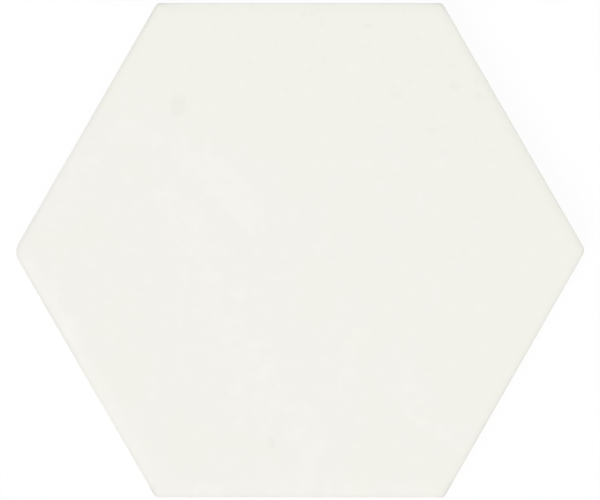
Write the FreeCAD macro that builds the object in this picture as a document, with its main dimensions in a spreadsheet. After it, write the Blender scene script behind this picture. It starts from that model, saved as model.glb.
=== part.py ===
"""A hexagon floor tile of glazed, fired clay, pressed as one piece.

The frame has +Z up through the glazed face, +X towards a corner and +Y towards a side.
Its origin is the middle of the back, in the plane of the rib crests that the tile rests on.

The shape comes from the press. The die gives the outline, an upright land at the top of the side
and a drafted flank below it. The upper punch rolls the margin of the face down towards the sides.
The lower punch leaves a field of hexagonal key cells for the adhesive, with ribs between them and
a plain rim around them.
"""

import FreeCAD, Part
import math
import os

import Sketcher

SHEET = "Sizes"
SIDES = 6
TURN = 360.0 / SIDES  # from one side or corner of a hexagon to the next, in degrees
RHOMBS = 3  # rhombs of key cells round the middle one

# Lengths are in millimetres and angles in degrees.
SIZES = {
    "across_flats": 175.0,  # between two opposite sides, at the land
    "thickness": 9.0,  # from the rib crests to the flat of the face
    "corner_radius": 2.5,  # round of the outline at each corner
    "land_height": 2.4,  # upright part of the side, from the flank to where the margin meets it
    "flank_draft": 3.0,  # lean of the flank, inwards to the back
    "margin_width": 6.0,  # rolled-down margin of the face, measured in from the side
    "margin_fall": 0.2,  # how far the margin comes down at the side
    "margin_corner": 6.0,  # corner radius of the flat that the margin goes round
    "arris_radius": 0.3,  # round between the margin and the land
    "back_chamfer": 0.7,  # bevel around the back
    "rim_width": 4.0,  # least width of the plain rim around the key cells
    "cell_pitch": 17.0,  # between the middles of neighbouring key cells
    "rib_width": 2.6,  # width of a rib at its crest
    "relief_depth": 0.8,  # from the rib crests to the floor of a cell
    "relief_draft": 30.0,  # lean of a cell's walls
}

# Sizes that follow from the ones above, as formulas over the sheet.
LAND_BOTTOM = "Sizes.thickness - Sizes.margin_fall - Sizes.land_height"
MARGIN_ROLL = "(Sizes.margin_width ^ 2 + Sizes.margin_fall ^ 2) / (2 * Sizes.margin_fall)"
FORM_FLATS = f"Sizes.across_flats + 2 * ({MARGIN_ROLL} - Sizes.margin_width)"
FORM_CORNER = f"{MARGIN_ROLL} + Sizes.margin_corner"
CELL_FLATS = "Sizes.cell_pitch - Sizes.rib_width"


def make_sheet(doc):
    """The spreadsheet of driving sizes, one row each: its name, and its value under that alias."""
    sheet = doc.addObject("Spreadsheet::Sheet", SHEET)
    for row, (name, value) in enumerate(SIZES.items(), start=1):
        sheet.set(f"A{row}", name)
        sheet.set(f"B{row}", str(value))
        sheet.setAlias(f"B{row}", name)
    doc.recompute()


def origin_feature(body, role):
    """One of the body's own origin planes or axes."""
    return next(feature for feature in body.Origin.OriginFeatures if feature.Role == role)


def new_sketch(body, name, height="0"):
    """A sketch square to Z, at a height given by a formula."""
    sketch = body.newObject("Sketcher::SketchObject", name)
    sketch.AttachmentSupport = [(origin_feature(body, "XY_Plane"), "")]
    sketch.MapMode = "FlatFace"
    sketch.setExpression("AttachmentOffset.Base.z", height)
    return sketch


def polar(radius, degrees):
    """A point in the sketch plane, by its distance from the origin and its direction."""
    angle = math.radians(degrees)
    return FreeCAD.Vector(radius * math.cos(angle), radius * math.sin(angle), 0)


def to_corner(flat_distance):
    """From a hexagon's middle to its corner, where it is this far to its side."""
    return flat_distance / math.cos(math.radians(TURN / 2))


def bind(sketch, constraint, name, formula):
    """Adds a dimension to the sketch, with a name and a formula for its value."""
    index = sketch.addConstraint(constraint)
    sketch.renameConstraint(index, name)
    sketch.setExpression(f"Constraints.{name}", formula)


def inscribed_circle(sketch, middle, flats, formula):
    """A construction circle that every side of a hexagon touches, as wide as the hexagon across flats."""
    circle = sketch.addGeometry(Part.Circle(middle, FreeCAD.Vector(0, 0, 1), flats / 2), True)
    bind(sketch, Sketcher.Constraint("Diameter", circle, flats), "across_flats", formula)
    return circle


def centre_on_origin(sketch, circle):
    sketch.addConstraint(Sketcher.Constraint("Coincident", circle, 3, -1, 1))


def turn_sides(sketch, sides, first_side):
    """Sets the first side Horizontal or Vertical, and each next one 60 degrees on from the one before."""
    sketch.addConstraint(Sketcher.Constraint(first_side, sides[0]))
    for before, after in zip(sides, sides[1:]):
        sketch.addConstraint(Sketcher.Constraint("Angle", before, 1, after, 1, math.radians(TURN)))


def rounded_hexagon(body, name, height, flats, corner):
    """A sketch of a hexagon about the origin, with corners on the X axis and a round at each corner."""
    sketch = new_sketch(body, name, height)
    size = body.Document.getObject(SHEET)
    radius = size.corner_radius
    circle = inscribed_circle(sketch, FreeCAD.Vector(), size.across_flats, flats)
    centre_on_origin(sketch, circle)

    round_middle = to_corner(size.across_flats / 2 - radius)
    sides = []
    rounds = []
    for k in range(SIDES):
        start = TURN * (k + 1)
        end = start + TURN
        outward = polar(radius, (start + end) / 2)
        side = Part.LineSegment(polar(round_middle, start) + outward, polar(round_middle, end) + outward)
        sides.append(sketch.addGeometry(side))
        arc = Part.ArcOfCircle(
            Part.Circle(polar(round_middle, end), FreeCAD.Vector(0, 0, 1), radius),
            math.radians(end - TURN / 2),
            math.radians(end + TURN / 2),
        )
        rounds.append(sketch.addGeometry(arc))
    for k in range(SIDES):
        sketch.addConstraint(Sketcher.Constraint("Tangent", sides[k], 2, rounds[k], 1))
        sketch.addConstraint(Sketcher.Constraint("Tangent", rounds[k], 2, sides[(k + 1) % SIDES], 1))
        sketch.addConstraint(Sketcher.Constraint("Tangent", sides[k], circle))
    turn_sides(sketch, sides, "Horizontal")
    bind(sketch, Sketcher.Constraint("Radius", rounds[0], radius), "corner_radius", corner)
    for other in rounds[1:]:
        sketch.addConstraint(Sketcher.Constraint("Equal", rounds[0], other))
    return sketch


def cell_mouth(body, name, middle):
    """A sketch of a key cell's mouth, with corners up and down, and the circle that it is drawn round."""
    sketch = new_sketch(body, name)
    size = body.Document.getObject(SHEET)
    flats = size.cell_pitch - size.rib_width
    circle = inscribed_circle(sketch, middle, flats, CELL_FLATS)
    corners = [middle + polar(to_corner(flats / 2), TURN * (k - 0.5)) for k in range(SIDES)]
    sides = []
    for start, end in zip(corners, corners[1:] + corners[:1]):
        sides.append(sketch.addGeometry(Part.LineSegment(start, end)))
    for k in range(SIDES):
        sketch.addConstraint(Sketcher.Constraint("Coincident", sides[k], 2, sides[(k + 1) % SIDES], 1))
        sketch.addConstraint(Sketcher.Constraint("Tangent", sides[k], circle))
    turn_sides(sketch, sides, "Vertical")
    return sketch, circle


def middle_mouth(body):
    """The mouth of the middle cell."""
    sketch, circle = cell_mouth(body, "middle_mouth", FreeCAD.Vector())
    centre_on_origin(sketch, circle)
    return sketch


def lane_mouth(body):
    """The mouth of a cell beside the middle one. A line joins the two, and the cells repeat along it."""
    pitch = body.Document.getObject(SHEET).cell_pitch
    middle = polar(pitch, 2 * TURN)
    sketch, circle = cell_mouth(body, "lane_mouth", middle)
    lane = sketch.addGeometry(Part.LineSegment(FreeCAD.Vector(), middle), True)
    sketch.addConstraint(Sketcher.Constraint("Coincident", lane, 1, -1, 1))
    sketch.addConstraint(Sketcher.Constraint("Coincident", lane, 2, circle, 3))
    sketch.addConstraint(Sketcher.Constraint("Angle", lane, math.radians(2 * TURN)))
    bind(sketch, Sketcher.Constraint("Distance", lane, pitch), "cell_pitch", "Sizes.cell_pitch")
    return sketch


def edges_at(shape, height):
    """The names of the edges that lie level, at one height."""
    names = []
    for number, edge in enumerate(shape.Edges, start=1):
        box = edge.BoundBox
        if math.isclose(box.ZMin, height, abs_tol=1e-4) and math.isclose(box.ZMax, height, abs_tol=1e-4):
            names.append(f"Edge{number}")
    return names


def is_upright(face):
    """Whether a face stands square to the back, by its normal at its middle."""
    u_start, u_end, v_start, v_end = face.ParameterRange
    return abs(face.normalAt((u_start + u_end) / 2, (v_start + v_end) / 2).z) < 1e-6


def arris_edges(shape, above):
    """The names of the edges over a height where an upright face meets one that isn't upright."""
    names = []
    for number, edge in enumerate(shape.Edges, start=1):
        if edge.BoundBox.ZMin > above:
            upright = [is_upright(face) for face in shape.ancestorsOfType(edge, Part.Face)]
            if upright.count(True) == 1:
                names.append(f"Edge{number}")
    return names


def make_face_form(doc):
    """The hollow of the upper punch, as a solid: a flat whose margin rolls down in an arc at each side."""
    body = doc.addObject("PartDesign::Body", "face_form")
    block = body.newObject("PartDesign::Pad", "form_block")
    block.Profile = rounded_hexagon(body, "form_outline", "Sizes.thickness", FORM_FLATS, FORM_CORNER)
    block.Reversed = True
    block.setExpression("Length", f"{MARGIN_ROLL} + Sizes.thickness")
    doc.recompute()

    roll = body.newObject("PartDesign::Fillet", "form_roll")
    roll.Base = (block, edges_at(block.Shape, doc.getObject(SHEET).thickness))
    roll.setExpression("Radius", MARGIN_ROLL)
    doc.recompute()
    return body


def press_blank(body):
    """The pressed blank: the upright land, and the flank that leans in below it."""
    outline = rounded_hexagon(
        body, "die_outline", LAND_BOTTOM, "Sizes.across_flats", "Sizes.corner_radius"
    )
    land = body.newObject("PartDesign::Pad", "land")
    land.Profile = outline
    land.setExpression("Length", f"Sizes.thickness - ({LAND_BOTTOM})")
    flank = body.newObject("PartDesign::Pad", "flank")
    flank.Profile = outline
    flank.Reversed = True
    flank.setExpression("Length", LAND_BOTTOM)
    flank.setExpression("TaperAngle", "-Sizes.flank_draft")
    body.Document.recompute()


def press_face(body, form):
    """Presses the face into the form, then rounds the arris where its margin meets the land."""
    doc = body.Document
    face = body.newObject("PartDesign::Boolean", "face")
    face.Type = "Common"
    face.addObject(form)
    doc.recompute()

    size = doc.getObject(SHEET)
    arris = body.newObject("PartDesign::Fillet", "arris")
    arris.Base = (face, arris_edges(face.Shape, above=size.thickness - size.land_height))
    arris.setExpression("Radius", "Sizes.arris_radius")
    doc.recompute()


def bevel_back(body):
    """Bevels the edge of the back."""
    blank = body.Tip
    bevel = body.newObject("PartDesign::Chamfer", "back_bevel")
    bevel.Base = (blank, edges_at(blank.Shape, 0))
    bevel.setExpression("Size", "Sizes.back_chamfer")
    body.Document.recompute()


def press_cell(body, name, mouth):
    """Presses a key cell up into the back, with drafted walls."""
    volume = body.Shape.Volume
    cell = body.newObject("PartDesign::Pocket", name)
    cell.Profile = mouth
    cell.Reversed = True
    cell.setExpression("Length", "Sizes.relief_depth")
    cell.setExpression("TaperAngle", "-Sizes.relief_draft")
    body.Document.recompute()
    if cell.Shape.Volume >= volume:
        raise RuntimeError(f"{name} cuts nothing")
    return cell


def cell_rings(size):
    """How many rings of key cells fit round the middle one, inside the rim."""
    flank_height = size.thickness - size.margin_fall - size.land_height
    lean = flank_height * math.tan(math.radians(size.flank_draft))
    back_edge = size.across_flats / 2 - lean - size.back_chamfer
    cell_reach = to_corner((size.cell_pitch - size.rib_width) / 2)
    ring_step = size.cell_pitch * math.cos(math.radians(TURN / 2))
    return math.floor((back_edge - size.rim_width - cell_reach) / ring_step)


def row_of_cells(body, name, direction, count):
    """Repeats what it is given at the cells' pitch along a direction."""
    row = body.newObject("PartDesign::LinearPattern", name)
    row.Direction = direction
    row.Mode = "Spacing"
    row.setExpression("Offset", "Sizes.cell_pitch")
    row.Occurrences = count
    return row


def press_key_cells(body):
    """Presses the hexagonal field of key cells.

    A field of so many rings is its middle cell with three rhombs round it, and each rhomb is as many
    cells long as there are rings, and one more wide.
    """
    rings = cell_rings(body.Document.getObject(SHEET))
    press_cell(body, "middle_cell", middle_mouth(body))
    mouth = lane_mouth(body)
    cell = press_cell(body, "lane_cell", mouth)
    field = body.newObject("PartDesign::MultiTransform", "key_cells")
    field.Originals = [cell]
    lane = row_of_cells(body, "cells_along_lane", (mouth, ["Axis0"]), rings)
    across = row_of_cells(body, "cells_across", (origin_feature(body, "X_Axis"), [""]), rings + 1)
    around = body.newObject("PartDesign::PolarPattern", "rhombs")
    around.Axis = (origin_feature(body, "Z_Axis"), [""])
    around.Angle = 360
    around.Occurrences = RHOMBS
    field.Transformations = [lane, across, around]
    body.Tip = field
    body.Document.recompute()


def make_tile(doc):
    """The tile, as one body."""
    form = make_face_form(doc)
    body = doc.addObject("PartDesign::Body", "hexagon_tile")
    body.Label = "hexagon_tile"
    press_blank(body)
    press_face(body, form)
    bevel_back(body)
    press_key_cells(body)
    return body


def check(doc, parts):
    """Stops the build if a feature failed or a part isn't one sound solid."""
    for item in doc.Objects:
        if "Invalid" in item.State or "Error" in item.State:
            raise RuntimeError(f"{item.Name} failed: {item.State}")
    for part in parts:
        if part.Shape.isNull() or not part.Shape.isValid() or len(part.Shape.Solids) != 1:
            raise RuntimeError(f"{part.Label} is not one sound solid")


def main():
    doc = FreeCAD.newDocument("hexagon_floor_tile")
    make_sheet(doc)
    parts = [make_tile(doc)]
    check(doc, parts)
    os.makedirs("parts", exist_ok=True)
    for part in parts:
        part.Shape.exportStep(f"parts/{part.Label}.step")
        print(f"{part.Label}: {part.Shape.Volume:.0f} mm3, {len(part.Shape.Faces)} faces")


main()
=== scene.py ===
"""The looks of a hexagon floor tile: a matte off-white glaze over a pressed and fired body.

One closed mesh stands for the tile. Its face is a triangular lattice of hexagonal rings, its side
is a stack of rings with as many points as the outermost one, and its back is a flat field round
the key cells. Lengths are in millimetres up to where the mesh is made, and directions are degrees
from +X. Side k faces 30 + 60 * k degrees, and corner k lies at 60 * k.
"""

import math

import bpy
import numpy as np
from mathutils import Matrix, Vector, noise
from mathutils.geometry import delaunay_2d_cdt


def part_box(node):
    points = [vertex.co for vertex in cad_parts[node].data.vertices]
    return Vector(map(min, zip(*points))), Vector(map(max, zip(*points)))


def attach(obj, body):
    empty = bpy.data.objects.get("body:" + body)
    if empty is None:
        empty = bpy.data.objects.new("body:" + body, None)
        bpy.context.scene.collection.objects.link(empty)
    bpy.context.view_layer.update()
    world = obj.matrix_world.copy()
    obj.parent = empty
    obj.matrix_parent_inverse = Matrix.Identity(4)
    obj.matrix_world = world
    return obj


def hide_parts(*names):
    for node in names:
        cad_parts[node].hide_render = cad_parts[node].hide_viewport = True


MM = 0.001  # in the scene's metres
SIDES = 6
TURN = 60.0  # from one side or corner to the next
HALF_TURN = math.radians(TURN / 2)
GLAZE, BISCUIT = range(2)  # the numbers of the tile's materials

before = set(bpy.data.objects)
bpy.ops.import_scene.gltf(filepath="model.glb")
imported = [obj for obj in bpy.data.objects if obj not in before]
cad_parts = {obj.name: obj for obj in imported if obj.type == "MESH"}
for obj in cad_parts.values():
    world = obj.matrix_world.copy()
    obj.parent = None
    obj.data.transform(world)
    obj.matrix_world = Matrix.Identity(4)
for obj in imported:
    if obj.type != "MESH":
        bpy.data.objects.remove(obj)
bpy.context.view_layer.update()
low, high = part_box("hexagon_tile")
ACROSS_FLATS = (high[1] - low[1]) / MM
THICKNESS = (high[2] - low[2]) / MM
INRADIUS = ACROSS_FLATS / 2

# The outline as it came out of the kiln
SIDE_SHIFT = (0.06, 0.07, -0.19, 0.23, -0.27, 0.16)  # how far out each side lies
SIDE_TURN = (0.05, 0.02, 0.03, 0.06, -0.06, 0.23)  # its turn about its middle, in degrees
CORNER_ROUND = (3.1, 1.8, 1.5, 5.6, 1.75, 1.25)  # radius of each corner
INNER_ROUND = 0.5  # corner radius of the innermost rings, as a share of their size

# Waves: the height of each kind, then the length, share and seed of those that it is made of
EDGE_WAVE = 0.05  # how far a side strays from straight
EDGE_WAVES = ((14.0, 1.0, 45), (14.0 / 3, 0.4, 46))
SWELL = 0.012  # how far the glaze on the face rises from trough to crest
SWELL_WAVES = ((11.0, 1.0, 5),)
GLAZE_LINE_WAVE = 0.3  # how far the line at which the glaze ends goes up and down
GLAZE_LINE_WAVES = ((11.0, 1.0, 11), (3.5, 0.5, 3.5))
SEED_STEP = (7.31, 3.17, 5.53)  # how far apart in the noise two seeds lie

# The rolled-down margin of the face: its slope where it meets the side, and how far in it reaches.
# These and the darkening at the arris change round the tile: each side and each corner has its own
# value.
MARGIN_SLOPE = {
    "sides": (0.085, 0.06, 0.06, 0.07, 0.026, 0.06),
    "corners": (0.045, 0.10, 0.09, 0.075, 0.05, 0.045),
}
MARGIN_REACH = {
    "sides": (4.2, 4.0, 6.0, 7.6, 6.2, 6.0),
    "corners": (5.0, 4.0, 5.0, 7.0, 7.0, 6.0),
}
# Body showing through thin glaze at the arris, where the melt has drawn back, plus painted edge
# shade
EDGE_THINNING_AND_SHADE = {
    "sides": (0.11, 0.0, 0.29, 0.38, 0.23, 0.32),
    "corners": (0.15, 0.08, 0.25, 0.30, 0.26, 0.22),
}
CORNER_SPREAD = 0.13  # how far a corner's value holds, as a share of the way to the next corner
# Stretches with more or less of both: direction of the middle, half-width in degrees, change
THINNING_AND_SHADE_STRETCHES = (
    (60.0, 2.0, 0.30),
    (111.0, 9.0, -0.20),
    (121.5, 3.0, 0.30),
    (128.0, 6.0, 0.05),
    (162.0, 11.0, -0.08),
    (221.0, 13.0, -0.15),
    (238.5, 1.2, 0.25),
    (301.5, 1.8, 0.35),
    (340.0, 10.0, -0.07),
    (358.5, 3.0, 0.14),
)
THINNING_AND_SHADE_REACH = 0.62  # how far from the arris it has fallen to about a third
BEAD_THINNING = 0.5  # how much more of it shows at the foot of the bead in which the glaze ends
BEAD_THINNING_REACH = 0.3

# The side, from the arris down to the bevel
ARRIS_RADIUS = 0.2
ARRIS_STEPS = 5
GLAZE_THICKNESS = 0.08
GLAZE_LINE = 6.95  # height at which the glaze ends
LAND_BOTTOM = 6.4
FLANK_DRAFT = math.radians(3.0)
FLANK_STEPS = 5
BACK_BEVEL = 0.7
# Down the bead: share of the glaze's thickness gone, and height above the glaze line
BEAD_STATIONS = ((0.0, 0.6), (0.0, 0.25), (0.1, 0.1), (0.4, 0.03), (1.0, 0.0))
# Round the bevel to the back: inset and height, both as shares of the bevel
BEVEL_STATIONS = ((0.05, 0.93), (0.25, 0.68), (0.70, 0.23), (0.90, 0.06), (1.15, 0.0), (1.60, 0.0))

# The key cells in the back
CELL_PITCH = 17.0
CELL_RINGS = 5
RIB_WIDTH = 2.6
RELIEF_DEPTH = 0.8
RELIEF_DRAFT = math.radians(30.0)
CELL_CORNER = 1.2  # radius of their corners
CELL_CORNER_MOST = 0.6  # and at most this share of the loop's half-width
CELL_CORNER_STEPS = 5
# Down a cell's crest: inset and height
CELL_CREST = ((-0.25, 0.0), (0.0, 0.0), (0.06, 0.02), (0.18, 0.11))
# Down to its foot: share of the wall's run, what comes on top of that, and share of the depth
CELL_FOOT = ((0.82, 0.0, 0.8), (1.0, 0.05, 0.95))
CELL_FLOOR = (0.3, 2.2, 4.4)  # how far in from the wall
WELD_DISTANCE = 1e-6  # points of the back that lie closer count as one

# The mesh of the face has so many rings, and its outermost ring so many steps along each side.
FACE_RINGS = 110
RING_CROWDING = 0.65  # how much closer the rings lie at the side than halfway in
CORNER_CROWDING = 0.78  # the same for the points of the outermost ring, at its corners
CORNER_CROWDING_POWER = 4  # how fast that dies away inwards
STRAY_POWER = 8  # the same for the waves of the sides

# The blush is a greyer cast over the lower left of the face. It is made up of round pools: middle,
# radius and depth of each. A pool grows more unbroken from its edge inwards, down to its depth, and
# one with a depth below 0 is only scattered spots.
BLUSH_POOLS = (
    (-70.0, -42.5, 94.5, 12.0),
    (33.0, -40.0, 10.0, 12.0),
    (40.0, -52.0, 10.0, 12.0),
    (57.0, -65.0, 7.0, 12.0),
    (14.0, -91.0, 11.0, 12.0),
    (28.0, -91.0, 10.0, 12.0),
    (42.0, -88.0, 8.0, 12.0),
    (48.0, -76.0, 16.0, -3.0),
    (30.0, 9.0, 30.0, -3.2),
)
# Round holes in it: middle and radius of each
BLUSH_HOLES = (
    (7.0, -15.0, 8.0),
    (-84.0, 4.0, 5.0),
    (-76.0, 5.0, 5.5),
    (-64.0, -26.0, 5.5),
    (-61.0, -44.0, 9.0),
    (-41.0, -69.0, 8.5),
    (-16.0, -71.0, 5.0),
    (-57.0, 30.0, 5.0),
)

# They are partly paler glaze and partly painted soft highlight where the face undulates.
# Lighter streaks: start, end, half-width and strength of each
PALE_AND_HIGHLIGHT_STREAKS = (
    ((-64, 43), (-61, 42), 5, 1.3),
    ((-52, 39), (-40, 35), 6, 1.1),
    ((-38, 33), (-28, 27), 6.5, 1.55),
    ((-28, 28), (-18, 12), 7, 1.8),
    ((-47, 18), (-38, 10), 7, 1.35),
    ((-42, 14), (-28, -18), 10, 1.0),
    ((-28, -18), (-12, -52), 12, 1.05),
    ((-16, -36), (-11, -50), 7, 1.25),
    ((-12, -50), (3, -64), 6.5, 1.25),
    ((5, -68), (-1, -86), 6, 1.45),
    ((20, -28), (15, -50), 4, 0.9),
    ((38, -44), (42, -58), 6, 1.0),
    ((42, -58), (58, -68), 5.5, 0.8),
    ((11, -85), (20, -85), 4.5, 1.3),
    ((-34, -84), (-31, -85), 5, 1.2),
    ((-79, -29), (-87, -15), 4.5, 1.2),
    ((-76, 33), (-86, 12), 7, 1.0),
)
STREAK_REACH = 1.4  # how many half-widths from its middle line a streak ends
PALE_AND_HIGHLIGHT_EVERYWHERE = 0.32  # the least strength anywhere in the blush
PALE_AND_HIGHLIGHT_PULL = 0.17  # how much it adds to the noise that makes the light blotches
STREAK_LIGHT = 0.02  # how much lighter those are than the glaze

# Dull marks in the glaze: middle, half-widths and how much darker they are
MARKS = (
    ((-42.9, 51.3), (3.75, 4.4), 0.0365),
    ((1.7, 83.7), (1.8, 1.1), 0.014),
    ((6.5, 85.2), (1.2, 0.9), 0.028),
    ((7.9, 82.3), (0.8, 0.8), 0.034),
    ((6.2, 79.6), (0.7, 1.1), 0.020),
    ((24.4, 79.5), (2.1, 1.1), 0.025),
    ((34.3, 55.4), (2.4, 2.0), 0.019),
    ((46.6, 42.5), (2.2, 1.2), 0.026),
    ((54.9, 58.4), (2.5, 2.2), 0.025),
    ((54.4, 65.7), (1.4, 1.5), 0.020),
    ((62.6, 60.2), (1.0, 2.2), 0.022),
    ((63.0, 54.4), (1.8, 2.6), 0.023),
    ((-9.9, -67.7), (1.6, 2.4), 0.026),
)


def direction(degrees):
    """Unit vectors in the plane, one for each angle."""
    radians = np.radians(degrees)
    return np.stack([np.cos(radians), np.sin(radians)], axis=-1)


def ripple(points, waves):
    """Smooth waves over the plane, laid over each other. Each alone stays between -1 and 1."""
    total = np.zeros(len(points))
    for length, share, seed in waves:
        shift = Vector([seed * step for step in SEED_STEP])
        places = [Vector((x, y, 0.0)) / length + shift for x, y in points]
        total = total + share * np.array([noise.noise(place) for place in places])
    return total


def round_tile(values, points):
    """Each side's value, which gives way to a corner's own close to it."""
    turns = np.degrees(np.arctan2(points[:, 1], points[:, 0])) / TURN
    corner = np.round(turns).astype(int)
    past_corner = turns - corner
    side = np.where(past_corner < 0, corner - 1, corner)
    near = np.exp(-((past_corner / CORNER_SPREAD) ** 2))
    at_side = np.array(values["sides"])[side % SIDES]
    at_corner = np.array(values["corners"])[corner % SIDES]
    return at_side * (1 - near) + at_corner * near


def corner_radii(inset):
    """The corner radii of the ring that lies this far in: rounder and rounder to the middle."""
    depth = inset / INRADIUS
    ease = depth * depth * (3 - 2 * depth)
    share = np.array(CORNER_ROUND) / INRADIUS * (1 - ease) + INNER_ROUND * ease
    return share * (INRADIUS - inset)


def ring(inset, steps, crowding=0.0):
    """Points and outward directions along a rounded hexagon, this far inside the outline.

    Each side takes so many steps, from the middle of one corner's round to the middle of the
    next's, and crowding draws them together towards both.
    """
    fade = 1 - inset / INRADIUS
    reach = INRADIUS - inset + np.array(SIDE_SHIFT) * fade
    facings = TURN * np.arange(SIDES) + TURN / 2 + np.array(SIDE_TURN) * fade
    normals = direction(facings)
    half_turns = np.radians(np.mod(facings - np.roll(facings, 1), 360)) / 2
    radii = corner_radii(inset)
    along = np.arange(steps) / steps
    along = along - crowding * np.sin(2 * np.pi * along) / (2 * np.pi)
    centres = []
    for k in range(SIDES):
        lines = np.array([normals[k - 1], normals[k]])
        corner = np.linalg.solve(lines, np.array([reach[k - 1], reach[k]]))
        to_corner = direction(facings[k] - np.degrees(half_turns[k]))
        centres.append(corner - to_corner * radii[k] / np.cos(half_turns[k]))
    points = []
    outward = []
    for k in range(SIDES):
        after = (k + 1) % SIDES
        start = centres[k] + normals[k] * radii[k]
        end = centres[after] + normals[k] * radii[after]
        straight = np.linalg.norm(end - start)
        first_arc = radii[k] * half_turns[k]
        distance = along * (first_arc + straight + radii[after] * half_turns[after])
        past_straight = distance - first_arc - straight
        before = np.minimum(distance - first_arc, 0) / radii[k]
        beyond = np.maximum(past_straight, 0) / radii[after]
        facing = direction(facings[k] + np.degrees(before + beyond))
        run = np.clip(distance - first_arc, 0, straight)
        on_side = start + np.outer(run, (end - start) / straight)
        on_first = centres[k] + facing * radii[k]
        on_second = centres[after] + facing * radii[after]
        in_first = (distance < first_arc)[:, None]
        in_second = (past_straight > 0)[:, None]
        points.append(np.where(in_first, on_first, np.where(in_second, on_second, on_side)))
        outward.append(facing)
    return np.concatenate(points), np.concatenate(outward)


class Shell:
    """Collects one closed mesh: its points, their thin glaze and painted edge shade, and its faces.
    """

    def __init__(self):
        self.points = []
        self.thinning_and_shade = []
        self.count = 0
        self.faces = []
        self.materials = []

    def add(self, points, thinning_and_shade=0.0):
        """Takes an array of points and gives back their numbers."""
        self.points.append(points)
        self.thinning_and_shade.append(np.broadcast_to(thinning_and_shade, len(points)))
        self.count += len(points)
        return np.arange(self.count - len(points), self.count)

    def face(self, corners, material):
        self.faces.append(tuple(int(c) for c in corners))
        self.materials.append(material)

    def bridge(self, upper, lower, material):
        """A band of four-sided faces between two rings with equally many points."""
        for a, b, c, d in zip(upper, lower, np.roll(lower, -1), np.roll(upper, -1)):
            self.face((a, b, c, d), material)

    def fan(self, loop, middle, material):
        """Triangles from a loop to one point in its middle."""
        for a, b in zip(loop, np.roll(loop, -1)):
            self.face((a, middle, b), material)

    def build(self, name, materials):
        """The piece with that name, with what its materials read at its points."""
        points = np.concatenate(self.points)
        mesh = bpy.data.meshes.new(name)
        mesh.from_pydata((points * MM).tolist(), [], self.faces)
        for material in materials:
            mesh.materials.append(material)
        mesh.polygons.foreach_set("material_index", self.materials)
        fields = {
            "thinning_and_shade": np.concatenate(self.thinning_and_shade),
            "blush": blush(points),
            "pale_and_highlit": pale_and_highlit(points),
        }
        for field, values in fields.items():
            attribute = mesh.attributes.new(field, "FLOAT", "POINT")
            attribute.data.foreach_set("value", values.astype(np.float32))
        mesh.shade_smooth()
        mesh.update()
        piece = bpy.data.objects.new(name, mesh)
        bpy.context.scene.collection.objects.link(piece)
        return piece


def blush(points):
    """How far each point lies inside the blush."""
    inside = np.full(len(points), -np.inf)
    for x, y, radius, depth in BLUSH_POOLS:
        from_edge = radius - np.hypot(points[:, 0] - x, points[:, 1] - y)
        inside = np.maximum(inside, np.minimum(from_edge, depth))
    for x, y, radius in BLUSH_HOLES:
        inside = np.minimum(inside, np.hypot(points[:, 0] - x, points[:, 1] - y) - radius)
    return inside


def pale_and_highlit(points):
    """How strong the lighter streaks are at each point, up to the streak's strength: partly painted
    highlight.
    """
    most = np.zeros(len(points))
    for start, end, half_width, strength in PALE_AND_HIGHLIGHT_STREAKS:
        start, end = np.array(start), np.array(end)
        along = (points[:, :2] - start) @ (end - start) / np.sum((end - start) ** 2)
        nearest = start + np.clip(along, 0, 1)[:, None] * (end - start)
        distance = np.linalg.norm(points[:, :2] - nearest, axis=1)
        share = np.clip(STREAK_REACH - distance / half_width, 0, 1)
        most = np.maximum(most, strength * share)
    return most


def with_height(points, heights):
    """Points in the plane, lifted to one height or to one each."""
    return np.column_stack([points, np.broadcast_to(heights, len(points))])


def margin_drop(points, inset):
    """How far the face lies below its flat, this far in from the side.

    Its slope falls from the side inwards as (1 - share ** 2) ** 2, and this is the sum of that.
    """
    slope = round_tile(MARGIN_SLOPE, points)
    reach = round_tile(MARGIN_REACH, points)
    share = np.minimum(inset / reach, 1)
    return slope * reach * (8 / 15 - share + 2 / 3 * share**3 - share**5 / 5)


def swell(points):
    """How far the glaze's waves lie below their highest."""
    return SWELL * (1 - ripple(points, SWELL_WAVES)) / 2


def stray(points):
    """How far the side strays outwards at each point of the outline."""
    return EDGE_WAVE * ripple(points, EDGE_WAVES)


def edge_thinning_and_shade(points, from_arris):
    """How much body shows through thin glaze at each point, this far from the arris, with painted
    edge shade.
    """
    at_arris = round_tile(EDGE_THINNING_AND_SHADE, points)
    facing = np.degrees(np.arctan2(points[:, 1], points[:, 0]))
    for middle, half_width, change in THINNING_AND_SHADE_STRETCHES:
        away = np.mod(facing - middle + 180, 360) - 180
        at_arris = at_arris + change * np.exp(-((away / half_width) ** 2))
    return np.maximum(at_arris, 0) * np.exp(-from_arris / THINNING_AND_SHADE_REACH)


def make_face(shell):
    """The glazed face in from its arris. Gives back the numbers of its outermost ring.

    The ring that is number j from the middle takes j steps along each side.
    """
    inner = shell.add(np.array([[0.0, 0.0, THICKNESS]]))
    for j in range(1, FACE_RINGS + 1):
        share = j / FACE_RINGS
        share = share + RING_CROWDING * share * (1 - share)
        inset = INRADIUS - (INRADIUS - ARRIS_RADIUS) * share
        points, outward = ring(inset, j, CORNER_CROWDING * share**CORNER_CROWDING_POWER)
        points = points + outward * (stray(points) * share**STRAY_POWER)[:, None]
        heights = THICKNESS - margin_drop(points, inset) - swell(points)
        # The glaze darkens towards the arris: thin glaze and painted edge shade
        thinning_and_shade = edge_thinning_and_shade(points, inset - ARRIS_RADIUS)
        outer = shell.add(with_height(points, heights), thinning_and_shade)
        for k in range(SIDES):
            for i in range(j):
                here = k * j + i
                inside = k * (j - 1) + i
                ahead = outer[(here + 1) % len(outer)]
                shell.face((outer[here], ahead, inner[inside % len(inner)]), GLAZE)
                if i:
                    behind = inner[inside - 1]
                    shell.face((behind, outer[here], inner[inside % len(inner)]), GLAZE)
        inner = outer
    return outer


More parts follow.
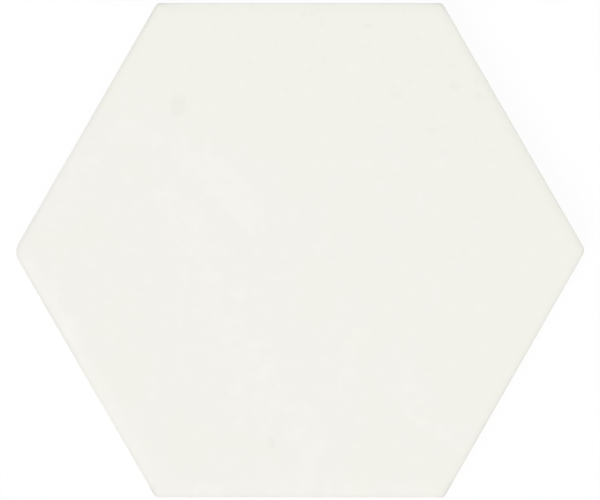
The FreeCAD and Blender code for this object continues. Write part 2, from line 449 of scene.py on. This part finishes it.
def make_side(shell, top):
    """The side from the arris down and round to the back. Gives back its last ring."""
    outline, _ = ring(0.0, FACE_RINGS, CORNER_CROWDING)
    strays = stray(outline)[:, None]
    arris_top = THICKNESS - margin_drop(outline, ARRIS_RADIUS) - swell(outline)
    line = GLAZE_LINE + GLAZE_LINE_WAVE * ripple(outline, GLAZE_LINE_WAVES)

    def level(inset, heights, thinning_and_shade=0.0):
        """A ring that lies so far in from the outline, at the given heights."""
        points, outward = ring(inset, FACE_RINGS, CORNER_CROWDING)
        return shell.add(with_height(points + outward * strays, heights), thinning_and_shade)

    rings = [top]
    for angle in np.radians(90 * np.arange(1, ARRIS_STEPS + 1) / ARRIS_STEPS):
        inset = ARRIS_RADIUS * (1 - math.sin(angle))
        heights = arris_top - ARRIS_RADIUS * (1 - math.cos(angle))
        # On the arris the darkening of thin glaze and painted edge shade is at its full
        rings.append(level(inset, heights, edge_thinning_and_shade(outline, 0.0)))
    for gone, above_line in BEAD_STATIONS:
        from_arris = arris_top - ARRIS_RADIUS - line - above_line
        at_bead = BEAD_THINNING * math.exp(-above_line / BEAD_THINNING_REACH)
        thinning_and_shade = edge_thinning_and_shade(outline, from_arris) + at_bead
        rings.append(level(gone * GLAZE_THICKNESS, line + above_line, thinning_and_shade))
    for upper, lower in zip(rings, rings[1:]):
        shell.bridge(upper, lower, GLAZE)

    def flank(height):
        """Inset of the bare side below its land."""
        return GLAZE_THICKNESS + (LAND_BOTTOM - height) * math.tan(FLANK_DRAFT)

    rings = rings[-1:]
    rings.append(level(GLAZE_THICKNESS, LAND_BOTTOM))
    for height in np.linspace(LAND_BOTTOM, BACK_BEVEL, FLANK_STEPS + 1)[1:-1]:
        rings.append(level(flank(height), height))
    for inward, height in BEVEL_STATIONS:
        rings.append(level(flank(BACK_BEVEL) + inward * BACK_BEVEL, height * BACK_BEVEL))
    for upper, lower in zip(rings, rings[1:]):
        shell.bridge(upper, lower, BISCUIT)
    return rings[-1]


def cell_centres():
    """The middles of the key cells: a hexagonal field of so many rings."""
    across, slant = CELL_PITCH * direction(0), CELL_PITCH * direction(TURN)
    steps = range(-CELL_RINGS, CELL_RINGS + 1)
    return [a * across + b * slant for a in steps for b in steps if abs(a + b) <= CELL_RINGS]


def cell_loop(centre, inset):
    """A rounded hexagon with corners up and down, this far inside a key cell's mouth."""
    half = (CELL_PITCH - RIB_WIDTH) / 2 - inset
    radius = min(CELL_CORNER, CELL_CORNER_MOST * half)
    reach = (half - radius) / math.cos(HALF_TURN)
    points = []
    for k in range(SIDES):
        towards = TURN * k + TURN / 2
        arc = direction(towards + np.linspace(-TURN / 2, TURN / 2, CELL_CORNER_STEPS))
        points.append(centre + direction(towards) * reach + arc * radius)
    return np.concatenate(points)


def cell_stations():
    """Inset and height down a key cell: its rolled crest, its drafted wall and its floor."""
    wall = RELIEF_DEPTH * math.tan(RELIEF_DRAFT)
    foot = [(wall * run + further, RELIEF_DEPTH * deep) for run, further, deep in CELL_FOOT]
    floor = [(wall + further, RELIEF_DEPTH) for further in CELL_FLOOR]
    return [*CELL_CREST, *foot, *floor]


def make_cell(shell, centre):
    """One key cell, from its mouth to its floor. Gives back the loop in the plane of the back."""
    loops = []
    for inset, height in cell_stations():
        loops.append(shell.add(with_height(cell_loop(centre, inset), height)))
    for outer, inner in zip(loops, loops[1:]):
        shell.bridge(outer, inner, BISCUIT)
    middle = shell.add(np.array([[*centre, RELIEF_DEPTH]]))[0]
    shell.fan(loops[-1], middle, BISCUIT)
    return loops[0]


def make_back(shell, rim):
    """The flat of the back, from its rim to the key cells, and the cells."""
    loops = [rim] + [make_cell(shell, centre) for centre in cell_centres()]
    numbers = np.concatenate(loops)
    placed = np.concatenate(shell.points)[numbers][:, :2]
    edges = []
    owners = []
    for number, loop in enumerate(loops):
        first = len(edges)
        edges += [(first + i, first + (i + 1) % len(loop)) for i in range(len(loop))]
        owners += [number] * len(loop)
    places = [Vector(p) for p in placed]
    inside_edges = 1
    filled = delaunay_2d_cdt(places, edges, [], inside_edges, WELD_DISTANCE)
    _, _, faces, origins, _, _ = filled
    for face in faces:
        corners = [origins[i][0] for i in reversed(face)]
        touched = {owners[i] for i in corners}
        # A triangle between points of one cell lies in its mouth.
        if len(touched) > 1 or touched == {0}:
            shell.face(numbers[corners], BISCUIT)


def make_tile():
    """The whole tile as one closed piece."""
    shell = Shell()
    rim = make_side(shell, make_face(shell))
    make_back(shell, rim)
    return shell.build("tile", [glaze_material(), biscuit_material()])


# A colour mix's sockets go by number, because its sockets for other values have the same names.
MIX_SHARE, MIX_FIRST, MIX_SECOND, MIX_RESULT = 0, 6, 7, 2
PLACE_STEP = (3.7, 9.1, 5.3)  # how far apart in a material's noise two seeds lie
SPECK_CORE = 0.6  # share of a speck's radius within which it is full
MARK_EDGE = (1.1, 0.45)  # from nothing to full, as shares of a mark's half-widths


class Graph:
    """A material's nodes. A value is a number, a vector, a colour or another node's output."""

    def __init__(self, name):
        self.material = bpy.data.materials.new(name)
        self.material.use_nodes = True
        self.tree = self.material.node_tree
        self.shader = self.tree.nodes["Principled BSDF"]
        self.object_place = self.node("TexCoord").outputs["Object"]
        self.place = self.vector("SCALE", self.object_place, Scale=1 / MM)
        self.height = self.node("SeparateXYZ", Vector=self.place).outputs["Z"]

    def set(self, socket, value):
        if isinstance(value, bpy.types.NodeSocket):
            self.tree.links.new(value, socket)
        else:
            socket.default_value = value

    def node(self, kind, settings=None, **inputs):
        """A new node. An input's name has _ where the socket's has a space."""
        made = self.tree.nodes.new("ShaderNode" + kind)
        for name, value in (settings or {}).items():
            setattr(made, name, value)
        for name, value in inputs.items():
            self.set(made.inputs[name.replace("_", " ")], value)
        return made

    def math(self, operation, first, second=0.0):
        made = self.node("Math", {"operation": operation})
        self.set(made.inputs[0], first)
        self.set(made.inputs[1], second)
        return made.outputs["Value"]

    def sum(self, *values):
        total = values[0]
        for value in values[1:]:
            total = self.math("ADD", total, value)
        return total

    def product(self, *values):
        total = values[0]
        for value in values[1:]:
            total = self.math("MULTIPLY", total, value)
        return total

    def vector(self, operation, first, second=(0, 0, 0), **inputs):
        made = self.node("VectorMath", {"operation": operation}, **inputs)
        self.set(made.inputs[0], first)
        self.set(made.inputs[1], second)
        return made.outputs["Value" if operation in ("LENGTH", "DOT_PRODUCT") else "Vector"]

    def between(self, value, low, high):
        """0 at low and 1 at high, with a smooth run between them. High may be the lesser."""
        smooth = {"interpolation_type": "SMOOTHSTEP"}
        made = self.node("MapRange", smooth, Value=value, From_Min=low, From_Max=high)
        return made.outputs["Result"]

    def field(self, name):
        """A value that the mesh holds at its points."""
        return self.node("Attribute", {"attribute_name": name}).outputs["Fac"]

    def place_over(self, lengths, seed):
        """Coordinates that rise by one over each of these lengths."""
        scale = [1 / (length * MM) for length in lengths]
        shift = [seed * step for step in PLACE_STEP]
        made = self.node("Mapping", Vector=self.object_place, Location=shift, Scale=scale)
        return made.outputs["Vector"]

    def noise(self, length, seed, detail=2.0, stretch=(1, 1, 1)):
        """Noise round 0.5 with swells of about that length, drawn out along each axis."""
        place = self.place_over([length * share for share in stretch], seed)
        return self.node("TexNoise", Vector=place, Scale=1.0, Detail=detail).outputs["Fac"]

    def swing(self, amount, length, seed, **settings):
        """Noise round 0, up to about so much either way."""
        centred = self.math("SUBTRACT", self.noise(length, seed, **settings), 0.5)
        return self.math("MULTIPLY", centred, 2 * amount)

    def grains(self, amount, size, seed):
        """A value round 0 for each grain, up to so much either way."""
        made = self.node("TexVoronoi", Vector=self.place_over([size] * 3, seed), Scale=1.0)
        lot = self.node("SeparateColor", Color=made.outputs["Color"]).outputs["Red"]
        return self.math("MULTIPLY", self.math("SUBTRACT", lot, 0.5), 2 * amount)

    def specks(self, pitch, radius, share, seed):
        """1 in scattered round specks, which that share of the places have, and 0 elsewhere."""
        made = self.node("TexVoronoi", Vector=self.place_over([pitch] * 3, seed), Scale=1.0)
        core = SPECK_CORE * radius / pitch
        near = self.between(made.outputs["Distance"], radius / pitch, core)
        lot = self.node("SeparateColor", Color=made.outputs["Color"]).outputs["Red"]
        return self.product(near, self.math("LESS_THAN", lot, share))

    def mark(self, middle, halves, ragged):
        """1 inside a soft oval on the face, and 0 outside it."""
        offset = self.vector("SUBTRACT", self.place, (*middle, THICKNESS))
        distance = self.vector("LENGTH", self.vector("DIVIDE", offset, (*halves, THICKNESS)))
        return self.between(self.sum(distance, ragged), *MARK_EDGE)

    def blend(self, share, first, second):
        """The first colour, running into the second as the share rises to 1."""
        made = self.node("Mix", {"data_type": "RGBA"})
        for number, value in ((MIX_SHARE, share), (MIX_FIRST, first), (MIX_SECOND, second)):
            self.set(made.inputs[number], value)
        return made.outputs[MIX_RESULT]

    def dim(self, colour, darker):
        """The colour, darker by this share."""
        return self.vector("SCALE", colour, Scale=self.math("SUBTRACT", 1.0, darker))

    def raise_surface(self, height):
        """Bump from a height in millimetres."""
        bump = self.node("Bump", Strength=1.0, Distance=MM, Height=height)
        self.set(self.shader.inputs["Normal"], bump.outputs["Normal"])


# The glaze. An edge is a pair of values between which something runs from nothing to full.
GLAZE_WARM = (0.8755, 0.875, 0.81, 1)
GLAZE_BLUSH = (0.8765, 0.868, 0.824, 1)
THIN_GLAZE_AND_EDGE_SHADE = (0.55, 0.54, 0.50, 1)  # where the body shows through it, and painted edge shade
GLAZE_ROUGHNESS = 0.56
THIN_SMOOTHER = 0.08  # how much less rough the thin glaze is
BLUSH_EDGE = (-1.5, 2.5)  # how far inside the blush
BLOTCH_EDGE = (0.53, 0.88)  # of the noise that makes the light blotches
SPECKS_TOWARDS = (0.64, 0.77, 0)  # direction in which the dull specks crowd
SPECKS_EDGE = (25, 75)  # how far that way
SPECK_SHARE = 0.03  # share of the places that have one, away from there
SPECK_SHARE_MORE = 0.52  # how much more of them have one where they crowd
SPECK_DULLNESS = 0.017
IRON_DULLNESS = 0.07
PINHOLE_DEPTH = 0.03


def blush_share(graph):
    """1 in the blush and 0 outside it, with a ragged edge between."""
    coarse = graph.swing(amount=15, length=12, seed=1)
    fine = graph.swing(amount=16, length=3.2, seed=2, detail=3)
    return graph.between(graph.sum(graph.field("blush"), coarse, fine), *BLUSH_EDGE)


def pale_and_highlight_share(graph, in_blush):
    """1 in the light blotches and 0 elsewhere: partly paler glaze, partly painted soft highlight.
    """
    throughout = graph.product(PALE_AND_HIGHLIGHT_EVERYWHERE, in_blush)
    pale_and_highlit_here = graph.math("MAXIMUM", graph.field("pale_and_highlit"), throughout)
    uneven = graph.noise(length=5, seed=4, detail=3)
    blotches = graph.sum(uneven, graph.product(PALE_AND_HIGHLIGHT_PULL, pale_and_highlit_here))
    return graph.between(blotches, *BLOTCH_EDGE)


def dullness(graph):
    """How much darker the glaze is in its marks and specks."""
    ragged = graph.swing(amount=0.3, length=0.9, seed=5)
    marks = []
    for middle, halves, darker in MARKS:
        marks.append(graph.product(darker, graph.mark(middle, halves, ragged)))
    that_way = graph.vector("DOT_PRODUCT", graph.place, SPECKS_TOWARDS)
    crowded = graph.between(that_way, *SPECKS_EDGE)
    share = graph.sum(SPECK_SHARE, graph.product(SPECK_SHARE_MORE, crowded))
    dull = graph.specks(pitch=4.2, radius=1.1, share=share, seed=6)
    iron = graph.specks(pitch=8, radius=0.3, share=0.25, seed=7)
    dull, iron = graph.product(SPECK_DULLNESS, dull), graph.product(IRON_DULLNESS, iron)
    return graph.sum(*marks, dull, iron)


def glaze_material():
    """A matte off-white glaze with a blush, light streaks (partly painted highlight), marks, fine
    specks and pinholes.
    """
    graph = Graph("matt_glaze")
    in_blush = blush_share(graph)
    # The lighter streaks and blotches are partly paler glaze and partly painted soft highlight
    streaks = graph.product(STREAK_LIGHT, pale_and_highlight_share(graph, in_blush))
    colour = graph.blend(in_blush, GLAZE_WARM, GLAZE_BLUSH)
    colour = graph.dim(colour, graph.math("SUBTRACT", dullness(graph), streaks))
    uneven = graph.sum(1.0, graph.swing(amount=0.5, length=2.2, seed=3))
    # Towards the arris the colour runs into the darker glaze: thin glaze and painted edge shade
    thin_and_shaded = graph.product(graph.field("thinning_and_shade"), uneven)
    graph.set(graph.shader.inputs["Base Color"], graph.blend(thin_and_shaded, colour, THIN_GLAZE_AND_EDGE_SHADE))

    cloudy = graph.swing(amount=0.06, length=16, seed=9)
    speckled = graph.swing(amount=0.05, length=1.1, seed=10)
    smoother = graph.product(-THIN_SMOOTHER, thin_and_shaded)
    roughness = graph.sum(GLAZE_ROUGHNESS, cloudy, speckled, smoother)
    graph.set(graph.shader.inputs["Roughness"], roughness)

    peel = graph.swing(amount=0.006, length=2.4, seed=11)
    fine_peel = graph.swing(amount=0.0012, length=0.45, seed=12)
    pinholes = graph.specks(pitch=6, radius=0.24, share=0.4, seed=8)
    pinholes = graph.product(PINHOLE_DEPTH, pinholes)
    graph.raise_surface(graph.math("SUBTRACT", graph.sum(peel, fine_peel), pinholes))
    return graph.material


# The fired body, and what lies on it
CLAY_PALE = (0.62, 0.585, 0.515, 1)
CLAY_WARM = (0.585, 0.525, 0.44, 1)
CLAY_EDGE = (0.3, 0.7)  # of the noise that makes the warm patches
CLAY_ROUGHNESS = 0.88
IRON = (0.16, 0.105, 0.07, 1)
IRON_STRENGTH = 0.7
GRAIN_DULLNESS = 0.07
GRAIN_HEIGHT = 0.02
DRAW_MARK_DULLNESS = 0.05
DRAW_MARK_HEIGHT = 0.015
KILN_WASH = (0.80, 0.79, 0.765, 1)
WASH_STRENGTH = 0.75
WASH_HEIGHT_EDGE = (0.1, 0.01)  # height above the back
WASH_STROKE_EDGE = (0.42, 0.6)  # of the noise that makes its strokes
WASH_PATCH_EDGE = (0.35, 0.6)  # of the noise that makes its patches
OVERSPRAY_BOTTOM = 2.0
OVERSPRAY_PULL = 0.24  # how much thicker the overspray lies at the glaze line than at its bottom
OVERSPRAY_STRENGTH = 0.85
DUST_EDGE = (0.62, 0.76)  # of the noise that makes its grains


def fired_clay(graph, grain, draw_marks):
    """The body's colour, paler and warmer in patches, with iron specks."""
    patches = graph.sum(graph.noise(length=34, seed=16), graph.swing(amount=0.1, length=5, seed=17))
    colour = graph.blend(graph.between(patches, *CLAY_EDGE), CLAY_PALE, CLAY_WARM)
    in_grain = graph.product(GRAIN_DULLNESS, grain)
    in_marks = graph.product(DRAW_MARK_DULLNESS, draw_marks)
    colour = graph.dim(colour, graph.sum(in_grain, in_marks))
    iron = graph.specks(pitch=3.2, radius=0.3, share=0.3, seed=18)
    return graph.blend(graph.product(IRON_STRENGTH, iron), colour, IRON)


def kiln_wash(graph):
    """How much of it the rib crests have picked up, in strokes along X."""
    on_crest = graph.between(graph.height, *WASH_HEIGHT_EDGE)
    strokes = graph.noise(length=2.4, seed=19, detail=4, stretch=(9, 1, 1))
    strokes = graph.between(strokes, *WASH_STROKE_EDGE)
    in_patches = graph.between(graph.noise(length=30, seed=20), *WASH_PATCH_EDGE)
    return graph.product(WASH_STRENGTH, on_crest, strokes, in_patches)


def overspray(graph, on_side):
    """How much glaze dust lies on the side, in grains that crowd towards the glaze line."""
    near_glaze = graph.between(graph.height, OVERSPRAY_BOTTOM, GLAZE_LINE)
    near_glaze = graph.product(OVERSPRAY_PULL, near_glaze)
    grains = graph.noise(length=0.28, seed=21, detail=4)
    dust = graph.between(graph.sum(grains, near_glaze), *DUST_EDGE)
    return graph.product(OVERSPRAY_STRENGTH, on_side, dust)


def biscuit_material():
    """Bare fired clay: pressed grains, iron specks, draw marks, overspray and kiln wash."""
    graph = Graph("biscuit")
    on_side = graph.between(graph.height, RELIEF_DEPTH, 2 * RELIEF_DEPTH)
    upright = graph.swing(amount=1, length=0.5, seed=13, stretch=(1, 1, 14))
    draw_marks = graph.product(on_side, upright)
    fine_grain = graph.swing(amount=0.5, length=0.35, seed=15, detail=3)
    grain = graph.sum(graph.grains(amount=0.5, size=0.6, seed=14), fine_grain)
    colour = graph.blend(kiln_wash(graph), fired_clay(graph, grain, draw_marks), KILN_WASH)
    colour = graph.blend(overspray(graph, on_side), colour, GLAZE_WARM)
    graph.set(graph.shader.inputs["Base Color"], colour)
    uneven = graph.swing(amount=0.08, length=1.3, seed=22)
    graph.set(graph.shader.inputs["Roughness"], graph.sum(CLAY_ROUGHNESS, uneven))
    in_marks = graph.product(DRAW_MARK_HEIGHT, draw_marks)
    graph.raise_surface(graph.sum(graph.product(GRAIN_HEIGHT, grain), in_marks))
    return graph.material


# The camera
PHOTO_WIDTH, PHOTO_HEIGHT = 600, 500
TILE_PIXELS = 495.0  # the tile's size across flats in the picture
TILE_MIDDLE = (299.4, 250.9)  # and where its middle lies, from the picture's upper left
CAMERA_HEIGHT = 2.5  # above the face, in metres
SENSOR_WIDTH = 36.0
VIEW_DEPTH = 20.0  # how far the camera sees, in metres


def make_camera():
    """A long lens straight above the tile, with +Y up the picture."""
    pixel = ACROSS_FLATS * MM / TILE_PIXELS
    camera = bpy.data.cameras.new("camera")
    camera.sensor_width = SENSOR_WIDTH
    camera.lens = SENSOR_WIDTH * CAMERA_HEIGHT / (PHOTO_WIDTH * pixel)
    camera.clip_end = VIEW_DEPTH
    camera.shift_x = (PHOTO_WIDTH / 2 - TILE_MIDDLE[0]) / PHOTO_WIDTH
    camera.shift_y = (TILE_MIDDLE[1] - PHOTO_HEIGHT / 2) / PHOTO_WIDTH
    holder = bpy.data.objects.new("camera", camera)
    holder.location = (0, 0, THICKNESS * MM + CAMERA_HEIGHT)
    bpy.context.scene.collection.objects.link(holder)
    bpy.context.scene.camera = holder


# The light. A level surface shows the ambient and the key share of its colour together.
AMBIENT = 0.6
KEY_SHARE = 0.4
KEY_AZIMUTH = math.radians(240)
KEY_ZENITH = math.radians(48)
KEY_SPREAD = math.radians(35)


def seen_directly(nodes, links):
    """1 for rays from the camera or by way of a mirror or glass, and 0 for those that light."""
    path = nodes.new("ShaderNodeLightPath")
    total = path.outputs["Is Camera Ray"]
    for name in ("Is Glossy Ray", "Is Transmission Ray"):
        add = nodes.new("ShaderNodeMath")
        add.operation = "MAXIMUM"
        links.new(total, add.inputs[0])
        links.new(path.outputs[name], add.inputs[1])
        total = add.outputs[0]
    return total


def make_world():
    """A plain white surround. What it shows is white, and what it lights gets the ambient level."""
    world = bpy.data.worlds.new("studio")
    bpy.context.scene.world = world
    world.use_nodes = True
    nodes, links = world.node_tree.nodes, world.node_tree.links
    background = nodes["Background"]
    background.inputs["Color"].default_value = (1, 1, 1, 1)
    strength = nodes.new("ShaderNodeMapRange")
    strength.inputs["To Min"].default_value = AMBIENT
    strength.inputs["To Max"].default_value = 1
    links.new(seen_directly(nodes, links), strength.inputs["Value"])
    links.new(strength.outputs["Result"], background.inputs["Strength"])


def make_key():
    """A wide soft lamp over the lower left of the picture."""
    lamp = bpy.data.lights.new("key", "SUN")
    lamp.energy = KEY_SHARE * math.pi / math.cos(KEY_ZENITH)
    lamp.angle = KEY_SPREAD
    holder = bpy.data.objects.new("key", lamp)
    holder.rotation_euler = (0, KEY_ZENITH, KEY_AZIMUTH)
    bpy.context.scene.collection.objects.link(holder)


# The floor, in metres
FLOOR_SIZE = 12.0
FLOOR_COLOUR = (0.97, 0.97, 0.97, 1)
FLOOR_GLOW = 0.95  # share of the floor's look that is plain white
FLOOR_DROP = 0.05 * MM  # how far it lies below the tile's back


def make_floor():
    """A white floor that shows a faint shadow."""
    half = FLOOR_SIZE / 2
    corners = [(-half, -half), (half, -half), (half, half), (-half, half)]
    mesh = bpy.data.meshes.new("floor")
    mesh.from_pydata([(x, y, -FLOOR_DROP) for x, y in corners], [], [(0, 1, 2, 3)])
    floor = bpy.data.objects.new("floor", mesh)
    bpy.context.scene.collection.objects.link(floor)
    material = bpy.data.materials.new("floor")
    material.use_nodes = True
    nodes, links = material.node_tree.nodes, material.node_tree.links
    shader = nodes["Principled BSDF"]
    shader.inputs["Base Color"].default_value = FLOOR_COLOUR
    shader.inputs["Roughness"].default_value = 1
    shader.inputs["Specular IOR Level"].default_value = 0
    glow = nodes.new("ShaderNodeEmission")
    mix = nodes.new("ShaderNodeMixShader")
    share = nodes.new("ShaderNodeMath")
    share.operation = "MULTIPLY"
    share.inputs[1].default_value = FLOOR_GLOW
    links.new(seen_directly(nodes, links), share.inputs[0])
    links.new(share.outputs[0], mix.inputs["Fac"])
    links.new(shader.outputs["BSDF"], mix.inputs[1])
    links.new(glow.outputs["Emission"], mix.inputs[2])
    links.new(mix.outputs["Shader"], nodes["Material Output"].inputs["Surface"])
    mesh.materials.append(material)


bpy.context.scene.view_settings.view_transform = "Standard"
make_camera()
make_world()
make_key()
make_floor()
tile = make_tile()
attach(tile, "root")
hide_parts("hexagon_tile")
